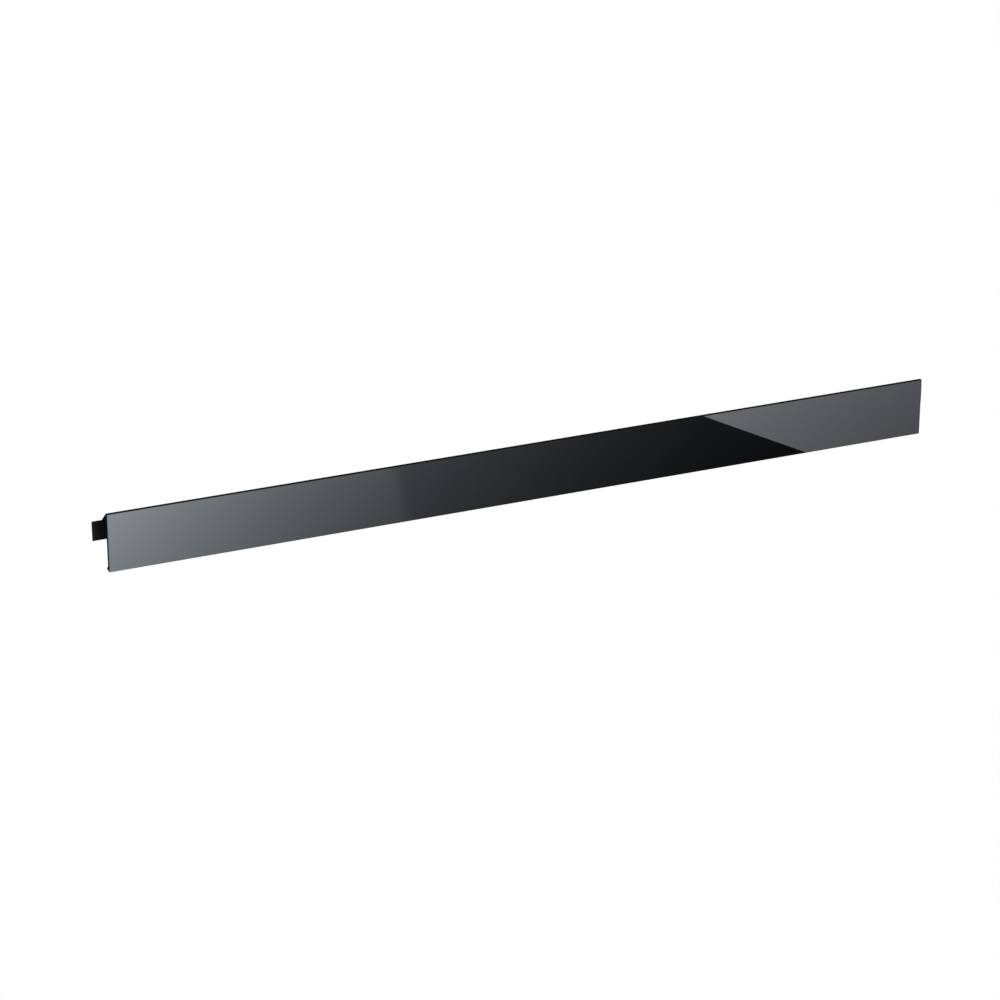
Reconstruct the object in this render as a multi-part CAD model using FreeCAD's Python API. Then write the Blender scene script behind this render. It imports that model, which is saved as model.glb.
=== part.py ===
import FreeCAD
import Part

import math
import os

# Hang-on kick plate (plinth strip).
#
# A gloss fascia strip is bonded with two runs of double-sided tape to the
# front wall of an extruded carrier.  From the top edge of the wall a sloping
# web runs back and down to a vertical hook leg, so that wall, web and leg form
# a channel that opens downwards and drops over the upright edge of a rail.
# The wall and web are milled back at both ends, which leaves the hook leg
# standing proud as an ear on each side.  A solid wedge foot stiffens the
# bottom edge.
#
# Frame: millimetres, +X along the length, +Y to the back, +Z up.
# Origin: centre of the length, middle of the hook channel, level with the
# top of the clear full width of that channel.

# ---------------------------------------------------------------- dimensions
plate_length = 598.0       # fascia and carrier wall, end to end
plate_height = 41.0        # top edge to bottom edge
fascia_thickness = 1.5
fascia_edge_break = 0.15   # polished bevel round the front edges
tape_thickness = 0.3
tape_width = 9.0
tape_end_inset = 2.0       # tape stops short of both ends
tape_edge_inset = 2.5      # tape to top or bottom edge
wall_thickness = 1.2       # carrier front wall
arm_thickness = 0.8        # sloping web and hook leg

web_angle = 40.7           # below horizontal
web_setback = 0.5          # slope starts this far inside the back of the wall
hook_depth = 12.62         # fascia front face to outer face of the hook leg
leg_height = 13.7          # hook leg, top corner to lower edge
ear_length = 6.93          # hook leg past each end of the plate
ear_corner_radius = 0.25

foot_height = 3.6          # wedge foot up the back of the wall
foot_depth = 3.0           # wedge foot out from the back of the wall

inner_radius = 0.5         # root radii of the extrusion
outer_radius = 0.3         # corner radii of the extrusion
leg_tip_radius = 0.15      # lower edge of the hook leg

# ------------------------------------------------------- derived dimensions
# Section coordinates: u back from the fascia's front face, v down from the
# top edge (negative).
wall_front = fascia_thickness + tape_thickness
wall_back = wall_front + wall_thickness
slope = math.tan(math.radians(web_angle))
web_drop = arm_thickness / math.cos(math.radians(web_angle))
web_start = wall_back - web_setback  # flat land on top of the wall ends here
leg_inner = hook_depth - arm_thickness


def web_top(u):
    return -slope * (u - web_start)


leg_top = web_top(hook_depth)
leg_bottom = leg_top - leg_height
channel_corner = web_top(leg_inner) - web_drop
channel_root = web_top(wall_back) - web_drop
root_run = inner_radius * math.tan(math.radians((90.0 - web_angle) / 2.0))
channel_top = channel_corner - root_run - 0.02   # clear full width starts here

origin_u = (wall_back + leg_inner) / 2.0
origin_v = channel_top


def at(x, u, v):
    """Point of the part's own frame from length and section coordinates."""
    return FreeCAD.Vector(x, u - origin_u, v - origin_v)


def prism(points, x0, x1):
    """Closed section polygon extruded along the length from x0 to x1."""
    wire = Part.makePolygon([at(x0, u, v) for u, v in points + points[:1]])
    return Part.Face(wire).extrude(FreeCAD.Vector(x1 - x0, 0, 0))


def block(x0, x1, u0, u1, v0, v1):
    """Rectangular block between two section corners."""
    return prism([(u0, v0), (u1, v0), (u1, v1), (u0, v1)], x0, x1)


def edges_through(shape, direction, points, tolerance=0.02):
    """Straight edges along a direction that pass through the given points."""
    found = []
    for edge in shape.Edges:
        a, b = edge.Vertexes[0].Point, edge.Vertexes[-1].Point
        run = b - a
        if run.Length < 1e-6 or run.cross(direction).Length > 1e-6 * run.Length:
            continue
        for p in points:
            off = (p - a).cross(run).Length / run.Length
            along = (p - a).dot(run) / run.Length / run.Length
            if off < tolerance and -0.001 <= along <= 1.001:
                found.append(edge)
                break
    return found


# ------------------------------------------------------------------- carrier
half = plate_length / 2.0
section = [
    (wall_front, 0.0),
    (web_start, 0.0),
    (hook_depth, leg_top),
    (hook_depth, leg_bottom),
    (leg_inner, leg_bottom),
    (leg_inner, channel_corner),
    (wall_back, channel_root),
    (wall_back, -plate_height + foot_height),
    (wall_back + foot_depth, -plate_height),
    (wall_front, -plate_height),
]
profile = prism(section, -half - ear_length, half + ear_length)

# Root and corner radii along the extrusion.
lengthwise = FreeCAD.Vector(1, 0, 0)
for radius, corners in (
    (inner_radius, [(leg_inner, channel_corner), (wall_back, channel_root)]),
    (outer_radius, [(wall_back, -plate_height + foot_height),
                    (wall_back + foot_depth, -plate_height)]),
    (leg_tip_radius, [(leg_inner, leg_bottom), (hook_depth, leg_bottom)]),
):
    picked = edges_through(profile, lengthwise, [at(0, u, v) for u, v in corners])
    assert len(picked) == len(corners)
    profile = profile.makeFillet(radius, picked)

# Milling outline: the whole section between the ends of the plate, and only
# the hook leg, with rounded corners, out to the ends of the ears.
kept_plate = block(-half, half, wall_front - 1.0, hook_depth + 1.0,
                   -plate_height - 1.0, 1.0)
kept_leg = block(-half - ear_length, half + ear_length, leg_inner,
                 hook_depth + 1.0, leg_bottom, leg_top)
picked = edges_through(
    kept_leg, FreeCAD.Vector(0, 1, 0),
    [at(side * (half + ear_length), leg_inner, v)
     for side in (-1, 1) for v in (leg_top, leg_bottom)])
assert len(picked) == 4
kept_leg = kept_leg.makeFillet(ear_corner_radius, picked)
carrier = profile.common(kept_plate.fuse(kept_leg)).removeSplitter()

# -------------------------------------------------------------------- fascia
fascia = block(-half, half, 0.0, fascia_thickness, -plate_height, 0.0)
front_edges = [e for e in fascia.Edges
               if all(abs(v.Point.y - at(0, 0, 0).y) < 1e-6 for v in e.Vertexes)]
assert len(front_edges) == 4
fascia = fascia.makeChamfer(fascia_edge_break, front_edges)

# ------------------------------------------------------------- bonding tapes
tape_half = half - tape_end_inset
tape_upper = block(-tape_half, tape_half, fascia_thickness, wall_front,
                   -tape_edge_inset - tape_width, -tape_edge_inset)
tape_lower = block(-tape_half, tape_half, fascia_thickness, wall_front,
                   -plate_height + tape_edge_inset,
                   -plate_height + tape_edge_inset + tape_width)

# -------------------------------------------------------------------- export
nodes = {
    "fascia": fascia,
    "carrier": carrier,
    "tape_upper": tape_upper,
    "tape_lower": tape_lower,
}

os.makedirs("parts", exist_ok=True)
for name, shape in nodes.items():
    solids = shape.Solids
    assert shape.isValid() and len(solids) == 1
    box = shape.BoundBox
    solids[0].exportStep("parts/%s.step" % name)
    print("%-11s %9.1f mm3  x %8.2f %8.2f  y %7.2f %7.2f  z %7.2f %7.2f" % (
        name, solids[0].Volume, box.XMin, box.XMax, box.YMin, box.YMax,
        box.ZMin, box.ZMax))
print("channel width %.2f  origin u %.3f v %.3f  leg top %.3f bottom %.3f" % (
    leg_inner - wall_back, origin_u, origin_v, leg_top, leg_bottom))
print("channel corner %.3f root %.3f" % (channel_corner, channel_root))
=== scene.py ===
import math

import bmesh
import bpy
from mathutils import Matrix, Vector


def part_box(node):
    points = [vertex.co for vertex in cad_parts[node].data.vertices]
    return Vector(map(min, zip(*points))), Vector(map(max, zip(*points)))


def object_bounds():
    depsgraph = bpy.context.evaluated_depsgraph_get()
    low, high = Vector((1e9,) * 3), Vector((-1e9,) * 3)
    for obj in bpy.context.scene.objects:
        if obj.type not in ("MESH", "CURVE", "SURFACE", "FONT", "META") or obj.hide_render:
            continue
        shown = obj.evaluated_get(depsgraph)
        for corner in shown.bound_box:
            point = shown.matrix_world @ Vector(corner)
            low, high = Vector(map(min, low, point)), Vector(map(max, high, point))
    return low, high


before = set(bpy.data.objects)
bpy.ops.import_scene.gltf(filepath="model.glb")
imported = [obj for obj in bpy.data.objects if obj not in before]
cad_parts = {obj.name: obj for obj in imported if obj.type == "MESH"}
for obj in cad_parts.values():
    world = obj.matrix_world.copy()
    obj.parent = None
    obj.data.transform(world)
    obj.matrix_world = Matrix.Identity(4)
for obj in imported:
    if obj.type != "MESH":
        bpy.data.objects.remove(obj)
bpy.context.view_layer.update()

scene = bpy.context.scene

# ------------------------------------------------------------ key positions
lo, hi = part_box("fascia")
left, right, front, top, base = lo.x, hi.x, lo.y, hi.z, lo.z
length, height = right - left, top - base
all_lo, all_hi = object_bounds()

# ------------------------------------------------------------------- camera
AZ, EL = math.radians(22.889), math.radians(23.933)
FOCAL_PX = 3526.3
forward = Vector((math.sin(AZ) * math.cos(EL), math.cos(AZ) * math.cos(EL), -math.sin(EL)))
rightv = Vector((math.cos(AZ), -math.sin(AZ), 0.0))
upv = rightv.cross(forward)
cam_at = Vector((left - 0.573125, front - 2.009334, top + 0.931103))
cam_data = bpy.data.cameras.new("camera")
cam_data.sensor_width = 36.0
cam_data.lens = 36.0 * FOCAL_PX / 1000.0
cam_data.clip_start, cam_data.clip_end = 0.05, 60.0
cam = bpy.data.objects.new("camera", cam_data)
scene.collection.objects.link(cam)
cam.location = cam_at
cam.rotation_mode = "QUATERNION"
cam.rotation_quaternion = forward.to_track_quat("-Z", "Y")
scene.camera = cam

scene.view_settings.view_transform = "Standard"
scene.view_settings.look = "None"


# ---------------------------------------------------------------- node help
class Graph:
    """Small helper that adds and links shader nodes."""

    def __init__(self, tree):
        self.tree, self.x = tree, 0
        tree.nodes.clear()

    def add(self, kind, **values):
        node = self.tree.nodes.new(kind)
        self.x += 40
        node.location = (self.x, 0)
        inputs = values.pop("inputs", {})
        for k, v in values.items():
            setattr(node, k, v)
        for k, v in inputs.items():
            if isinstance(v, bpy.types.NodeSocket):
                self.tree.links.new(v, node.inputs[k])
            else:
                node.inputs[k].default_value = v
        return node

    def link(self, a, b):
        self.tree.links.new(a, b)

    def math(self, op, a, b=0.0, c=0.0, clamp=False):
        n = self.add("ShaderNodeMath", operation=op, use_clamp=clamp)
        for i, v in enumerate((a, b, c)):
            if isinstance(v, bpy.types.NodeSocket):
                self.tree.links.new(v, n.inputs[i])
            else:
                n.inputs[i].default_value = v
        return n.outputs[0]

    def ramp(self, fac, stops, interpolation="LINEAR"):
        n = self.add("ShaderNodeValToRGB")
        r = n.color_ramp
        r.interpolation = interpolation
        while len(r.elements) > 1:
            r.elements.remove(r.elements[-1])
        for i, (p, c) in enumerate(stops):
            e = r.elements[0] if i == 0 else r.elements.new(p)
            e.position = p
            e.color = (c, c, c, 1) if isinstance(c, (int, float)) else (*c, 1)
        self.tree.links.new(fac, n.inputs[0])
        return n.outputs["Color"]

    def remap(self, v, a, b, c, d, clamp=True, smooth=False):
        n = self.add("ShaderNodeMapRange", clamp=clamp,
                     interpolation_type="SMOOTHSTEP" if smooth else "LINEAR")
        self.tree.links.new(v, n.inputs["Value"])
        for k, x in zip(("From Min", "From Max", "To Min", "To Max"), (a, b, c, d)):
            n.inputs[k].default_value = x
        return n.outputs["Result"]

    def stretch(self, vec, scale):
        n = self.add("ShaderNodeMapping", vector_type="POINT")
        self.tree.links.new(vec, n.inputs["Vector"])
        n.inputs["Scale"].default_value = scale
        return n.outputs["Vector"]

    def noise(self, vec, scale, detail=3.0, rough=0.55):
        n = self.add("ShaderNodeTexNoise")
        self.tree.links.new(vec, n.inputs["Vector"])
        n.inputs["Scale"].default_value = scale
        n.inputs["Detail"].default_value = detail
        n.inputs["Roughness"].default_value = rough
        return n.outputs["Fac"]


def new_material(name):
    m = bpy.data.materials.new(name)
    m.use_nodes = True
    return m, Graph(m.node_tree)


def mix_color(g, fac, a, b):
    n = g.add("ShaderNodeMix", data_type="RGBA")
    for k, v in ((0, fac), (6, a), (7, b)):
        if isinstance(v, bpy.types.NodeSocket):
            g.link(v, n.inputs[k])
        else:
            n.inputs[k].default_value = v if k == 0 else (*v, 1)
    return n.outputs[2]


# ---------------------------------------------------------------- materials
def gloss_fascia():
    """High-gloss black sheet: mirror face, slightly frosted cut edges."""
    m, g = new_material("gloss_fascia")
    tc = g.add("ShaderNodeTexCoord")
    obj, nrm = tc.outputs["Object"], tc.outputs["Normal"]
    sep_n = g.add("ShaderNodeSeparateXYZ", inputs={0: nrm})
    facing = g.math("ABSOLUTE", sep_n.outputs["Y"])
    edge = g.remap(facing, 0.55, 0.85, 1.0, 0.0)
    # polish haze and the fine hairlines that dusting leaves on a black gloss face
    haze = g.noise(obj, 9.0, 4.0, 0.6)
    hair_a = g.noise(g.stretch(obj, (14.0, 60.0, 900.0)), 1.0, 2.0, 0.7)
    hair_b = g.noise(g.stretch(obj, (700.0, 60.0, 30.0)), 1.0, 2.0, 0.7)
    hair = g.math("MAXIMUM", g.remap(hair_a, 0.70, 0.78, 0.0, 1.0), g.remap(hair_b, 0.72, 0.80, 0.0, 1.0))
    face_r = g.math("ADD", g.remap(haze, 0.35, 0.7, 0.002, 0.009), g.math("MULTIPLY", hair, 0.008))
    # saw and polish lines along the cut edges
    cut = g.noise(g.stretch(obj, (220.0, 2600.0, 2600.0)), 1.0, 3.0, 0.6)
    edge_r = g.remap(cut, 0.3, 0.7, 0.12, 0.22)
    rough = g.add("ShaderNodeMix", data_type="FLOAT")
    g.link(edge, rough.inputs[0]); g.link(face_r, rough.inputs[2]); g.link(edge_r, rough.inputs[3])
    tone = mix_color(g, g.remap(haze, 0.3, 0.7, 0.0, 1.0), (0.0012, 0.0013, 0.0016), (0.0018, 0.0019, 0.0022))
    tone = mix_color(g, edge, tone, (0.0035, 0.0036, 0.0040))
    bump = g.add("ShaderNodeBump")
    bump.inputs["Strength"].default_value = 0.25
    bump.inputs["Distance"].default_value = 0.00003
    g.link(g.math("MULTIPLY", cut, edge), bump.inputs["Height"])
    b = g.add("ShaderNodeBsdfPrincipled")
    g.link(tone, b.inputs["Base Color"])
    g.link(rough.outputs[0], b.inputs["Roughness"])
    g.link(bump.outputs[0], b.inputs["Normal"])
    b.inputs["IOR"].default_value = 1.5
    out = g.add("ShaderNodeOutputMaterial")
    g.link(b.outputs[0], out.inputs[0])
    return m


def black_profile():
    """Black anodised extrusion: die lines along the length, milled ends."""
    m, g = new_material("black_profile")
    tc = g.add("ShaderNodeTexCoord")
    obj, nrm = tc.outputs["Object"], tc.outputs["Normal"]
    sep_n = g.add("ShaderNodeSeparateXYZ", inputs={0: nrm})
    end = g.remap(g.math("ABSOLUTE", sep_n.outputs["X"]), 0.6, 0.9, 0.0, 1.0)
    die = g.noise(g.stretch(obj, (1.6, 1900.0, 1900.0)), 1.0, 4.0, 0.65)
    die_wide = g.noise(g.stretch(obj, (0.8, 330.0, 330.0)), 1.0, 2.0, 0.5)
    grain = g.noise(obj, 5200.0, 2.0, 0.6)
    cloud = g.noise(obj, 22.0, 3.0, 0.5)
    mill = g.add("ShaderNodeTexWave", wave_type="RINGS", rings_direction="X", wave_profile="SIN")
    g.link(g.stretch(obj, (1.0, 1.0, 1.0)), mill.inputs["Vector"])
    mill.inputs["Scale"].default_value = 900.0
    mill.inputs["Distortion"].default_value = 1.5
    mill.inputs["Detail"].default_value = 2.0
    lines = g.math("ADD", g.math("MULTIPLY", die, 0.6), g.math("MULTIPLY", die_wide, 0.4))
    relief = g.add("ShaderNodeMix", data_type="FLOAT")
    g.link(end, relief.inputs[0]); g.link(lines, relief.inputs[2]); g.link(mill.outputs["Fac"], relief.inputs[3])
    h = g.math("ADD", relief.outputs[0], g.math("MULTIPLY", grain, 0.35))
    bump = g.add("ShaderNodeBump")
    bump.inputs["Strength"].default_value = 0.5
    bump.inputs["Distance"].default_value = 0.00003
    g.link(h, bump.inputs["Height"])
    rough = g.math("ADD", g.remap(lines, 0.3, 0.7, 0.31, 0.45), g.math("MULTIPLY", g.math("SUBTRACT", cloud, 0.5), 0.06))
    tone = mix_color(g, g.remap(lines, 0.3, 0.7, 0.0, 1.0), (0.0050, 0.0050, 0.0054), (0.0084, 0.0084, 0.0090))
    tone = mix_color(g, g.remap(cloud, 0.35, 0.7, 0.0, 0.5), tone, (0.0068, 0.0066, 0.0068))
    b = g.add("ShaderNodeBsdfPrincipled")
    g.link(tone, b.inputs["Base Color"])
    g.link(rough, b.inputs["Roughness"])
    g.link(bump.outputs[0], b.inputs["Normal"])
    b.inputs["Specular IOR Level"].default_value = 0.15
    b.inputs["IOR"].default_value = 1.5
    out = g.add("ShaderNodeOutputMaterial")
    g.link(b.outputs[0], out.inputs[0])
    return m


def bonding_tape():
    """Matte black foam tape with a fine open-cell edge."""
    m, g = new_material("bonding_tape")
    tc = g.add("ShaderNodeTexCoord")
    obj = tc.outputs["Object"]
    cells = g.add("ShaderNodeTexVoronoi")
    g.link(obj, cells.inputs["Vector"])
    cells.inputs["Scale"].default_value = 6000.0
    fine = g.noise(obj, 900.0, 3.0, 0.6)
    tone = mix_color(g, g.remap(cells.outputs["Distance"], 0.0, 0.6, 0.0, 1.0), (0.010, 0.010, 0.010), (0.028, 0.028, 0.028))
    bump = g.add("ShaderNodeBump")
    bump.inputs["Strength"].default_value = 0.6
    bump.inputs["Distance"].default_value = 0.00005
    g.link(cells.outputs["Distance"], bump.inputs["Height"])
    b = g.add("ShaderNodeBsdfPrincipled")
    g.link(tone, b.inputs["Base Color"])
    g.link(g.remap(fine, 0.3, 0.7, 0.78, 0.92), b.inputs["Roughness"])
    g.link(bump.outputs[0], b.inputs["Normal"])
    out = g.add("ShaderNodeOutputMaterial")
    g.link(b.outputs[0], out.inputs[0])
    return m


finish_for = {
    "fascia": gloss_fascia(),
    "carrier": black_profile(),
    "tape_upper": bonding_tape(),
}
finish_for["tape_lower"] = finish_for["tape_upper"]
for node, material in finish_for.items():
    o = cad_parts[node]
    o.data.materials.clear()
    o.data.materials.append(material)

# --------------------------------------------------------------- the studio
def stage_mesh(name, verts, faces, uvs=None):
    me = bpy.data.meshes.new(name)
    me.from_pydata([tuple(v) for v in verts], [], faces)
    if uvs:
        layer = me.uv_layers.new(name="card")
        for poly in me.polygons:
            for li in poly.loop_indices:
                layer.data[li].uv = uvs[me.loops[li].vertex_index]
    me.update()
    o = bpy.data.objects.new(name, me)
    scene.collection.objects.link(o)
    return o


floor_z = base - 0.45
R = 14.0
ring = [(R * math.cos(2 * math.pi * i / 96), R * math.sin(2 * math.pi * i / 96), floor_z) for i in range(96)]
floor = stage_mesh("floor", ring, [list(range(96))])
m, g = new_material("pale_floor")
tc = g.add("ShaderNodeTexCoord")
speck = g.noise(tc.outputs["Object"], 3.0, 4.0, 0.6)
tone = mix_color(g, g.remap(speck, 0.3, 0.7, 0.0, 1.0), (0.90, 0.90, 0.90), (0.92, 0.92, 0.92))
d = g.add("ShaderNodeBsdfDiffuse")
g.link(tone, d.inputs["Color"])
clear = g.add("ShaderNodeBsdfTransparent")
geo = g.add("ShaderNodeNewGeometry")
# the sweep is lit to paper white: seen directly it reads as even white
paper = g.add("ShaderNodeEmission")
g.link(g.ramp(g.remap(speck, 0.3, 0.7, 0.0, 1.0), [(0.0, 0.997), (1.0, 1.0)]), paper.inputs["Color"])
seen = g.add("ShaderNodeLightPath")
face = g.add("ShaderNodeMixShader")
g.link(seen.outputs["Is Camera Ray"], face.inputs[0])
g.link(d.outputs[0], face.inputs[1])
g.link(paper.outputs[0], face.inputs[2])
mx = g.add("ShaderNodeMixShader")
g.link(geo.outputs["Backfacing"], mx.inputs[0])
g.link(face.outputs[0], mx.inputs[1])
g.link(clear.outputs[0], mx.inputs[2])
out = g.add("ShaderNodeOutputMaterial")
g.link(mx.outputs[0], out.inputs[0])
floor.data.materials.append(m)
floor.visible_glossy = False

# World: even pale light for the room, a dim grey surround in reflections.
world = bpy.data.worlds.new("studio")
scene.world = world
world.use_nodes = True
g = Graph(world.node_tree)
lp = g.add("ShaderNodeLightPath")
tc = g.add("ShaderNodeTexCoord")
sep = g.add("ShaderNodeSeparateXYZ", inputs={0: tc.outputs["Generated"]})
wx, wy, wz = sep.outputs["X"], sep.outputs["Y"], sep.outputs["Z"]
ahead = g.ramp(g.remap(wz, -1.0, 1.0, 0.0, 1.0),
               [(0.0, 0.55), (0.17, 0.38), (0.26, 0.07), (0.36, 0.07), (0.405, 0.75), (0.47, 1.35), (0.56, 0.90), (0.8, 0.40), (1.0, 0.12)], "EASE")
ahead = g.math("MULTIPLY", ahead, g.remap(wx, -0.55, 0.55, 1.5, 0.55, smooth=True))
above = g.remap(wx, 0.26, 0.34, 0.045, 0.004, smooth=True)
zenith = g.remap(wz, 0.74, 0.95, 0.0, 1.8, smooth=True)
above = g.math("ADD", above, zenith)
below = g.ramp(g.remap(wx, -1.0, 1.0, 0.0, 1.0),
               [(0.0, 0.40), (0.25, 0.34), (0.31, 0.16), (0.355, 0.02), (0.44, 0.03), (0.56, 0.24), (0.70, 0.45), (1.0, 0.40)], "EASE")
behind = g.add("ShaderNodeMix", data_type="FLOAT")
g.link(g.remap(wz, -0.12, 0.06, 0.0, 1.0, smooth=True), behind.inputs[0])
g.link(below, behind.inputs[2]); g.link(above, behind.inputs[3])
surround = g.add("ShaderNodeMix", data_type="FLOAT")
g.link(g.remap(wy, -0.12, 0.12, 0.0, 1.0, smooth=True), surround.inputs[0])
g.link(ahead, surround.inputs[2]); g.link(behind.outputs[0], surround.inputs[3])
surround = surround.outputs[0]
room = g.add("ShaderNodeBackground")
room.inputs["Color"].default_value = (1, 1, 1, 1)
room.inputs["Strength"].default_value = 0.85
mirror = g.add("ShaderNodeBackground")
g.link(surround, mirror.inputs["Color"])
mirror.inputs["Strength"].default_value = 1.0
white = g.add("ShaderNodeBackground")
white.inputs["Color"].default_value = (1, 1, 1, 1)
mx = g.add("ShaderNodeMixShader")
g.link(lp.outputs["Is Glossy Ray"], mx.inputs[0])
g.link(room.outputs[0], mx.inputs[1])
g.link(mirror.outputs[0], mx.inputs[2])
mx2 = g.add("ShaderNodeMixShader")
g.link(lp.outputs["Is Camera Ray"], mx2.inputs[0])
g.link(mx.outputs[0], mx2.inputs[1])
g.link(white.outputs[0], mx2.inputs[2])
out = g.add("ShaderNodeOutputWorld")
g.link(mx2.outputs[0], out.inputs[0])


def area(name, at, target, sx, sy, power, glossy=True):
    data = bpy.data.lights.new(name, "AREA")
    data.shape, data.size, data.size_y, data.energy = "RECTANGLE", sx, sy, power
    o = bpy.data.objects.new(name, data)
    scene.collection.objects.link(o)
    o.location = at
    o.rotation_mode = "QUATERNION"
    o.rotation_quaternion = (Vector(target) - Vector(at)).to_track_quat("-Z", "Y")
    o.visible_glossy = glossy
    return o


centre = Vector(((left + right) / 2, front, (top + base) / 2))
area("softbox_top", (0.2, -0.6, 2.6), centre, 2.6, 1.8, 32.0, False)
area("softbox_back_left", (-1.5, 2.2, 0.55), centre, 1.4, 1.4, 42.0, False)
area("softbox_back_right", (1.7, 2.1, 0.45), centre, 1.2, 1.4, 30.0, False)

# Two graded cards stand where the gloss face mirrors them: each is laid out
# on a plane along the mirrored line of sight, in plate millimetres
# (x along the length, d down from the top edge) for its own shape and fade.
mirror_cam = Vector((cam_at.x, 2 * front - cam_at.y, cam_at.z))
mirror_axis = Vector((forward.x, -forward.y, forward.z))


def on_card(x_mm, d_mm, depth):
    p = Vector((left + x_mm * length / 598.0, front, top - d_mm * height / 41.0))
    ray = p - mirror_cam
    return mirror_cam + ray * (depth / ray.dot(mirror_axis))


def card(name, rows, depth, strength_nodes):
    """rows: lists of (x, d) points in plate millimetres, one list per d."""
    verts, uvs, faces = [], [], []
    w = len(rows[0])
    for row in rows:
        for x, d in row:
            verts.append(on_card(x, d, depth))
            uvs.append((x / 1000.0, d / 1000.0))
    for j in range(len(rows) - 1):
        for i in range(w - 1):
            a = j * w + i
            faces.append((a, a + 1, a + w + 1, a + w))
    o = stage_mesh(name, verts, faces, uvs)
    m, g = new_material(name)
    uv = g.add("ShaderNodeUVMap", uv_map="card")
    sep = g.add("ShaderNodeSeparateXYZ", inputs={0: uv.outputs[0]})
    value, tint = strength_nodes(g, sep.outputs["X"], sep.outputs["Y"])
    em = g.add("ShaderNodeEmission")
    em.inputs["Color"].default_value = (*tint, 1)
    g.link(value, em.inputs["Strength"])
    out = g.add("ShaderNodeOutputMaterial")
    g.link(em.outputs[0], out.inputs[0])
    o.data.materials.append(m)
    o.visible_camera = o.visible_diffuse = o.visible_shadow = False
    o.visible_transmission = o.visible_volume_scatter = False
    return o


REFLECT = 0.0425     # share of light the gloss face sends back at this angle
BODY = 0.0012        # what the black body adds under the reflection

LEFT_LIGHT, LEFT_REACH, LEFT_FALL = 0.264, 1.0, 5.7   # brightness, reach in m, how fast it fades
LEFT_LEAN = 1.09     # the fade runs along the plate and this much down it
STEP = 0.68          # the card is this much dimmer past its soft seam
RIGHT_LIGHT, RIGHT_FADE = 0.166, 0.280                # brightness, fade length in m
RIGHT_LEAN = 1.65


def left_card(g, x, d):
    s = g.math("ADD", x, g.math("MULTIPLY", d, LEFT_LEAN))
    u = g.math("SUBTRACT", 1.0, g.math("DIVIDE", s, LEFT_REACH))
    v = g.math("MULTIPLY", g.math("POWER", u, LEFT_FALL), LEFT_LIGHT / REFLECT)
    end = g.remap(s, -0.030, 0.008, 0.03, 1.0, smooth=True)
    end = g.math("MULTIPLY", end, g.remap(x, -0.004, 0.0, 0.05, 1.0))
    slant = g.math("SUBTRACT", x, g.math("MULTIPLY", d, 0.22))
    seam = g.remap(slant, 0.1925, 0.2065, 1.0, STEP, smooth=True)
    return g.math("MULTIPLY", g.math("MULTIPLY", v, seam), end), (0.915, 1.0, 1.085)


def right_card(g, x, d):
    s = g.math("ADD", x, g.math("MULTIPLY", d, RIGHT_LEAN))
    u = g.math("EXPONENT", g.math("DIVIDE", g.math("SUBTRACT", 0.4, s), RIGHT_FADE))
    v = g.math("SUBTRACT", g.math("MULTIPLY", u, RIGHT_LIGHT), BODY)
    return g.math("MULTIPLY", v, 1.0 / REFLECT), (0.95, 1.0, 1.07)


def grid(x0, x1, d0, d1, nx, nd, shear=0.0):
    return [[(x0 + (x1 - x0) * i / nx + shear * (d0 + (d1 - d0) * j / nd), d0 + (d1 - d0) * j / nd) for i in range(nx + 1)] for j in range(nd + 1)]


card("card_left", grid(-70, 640, -30, 71, 60, 8), 3.5, left_card)


def right_rows():
    rows = []
    for j in range(9):
        d = -30 + 101 * j / 8
        x0 = 427.1 + 1.9915 * d
        rows.append([(x0 + (700 - x0) * i / 30, d) for i in range(31)])
    return rows


card("card_right", right_rows(), 3.3, right_card)
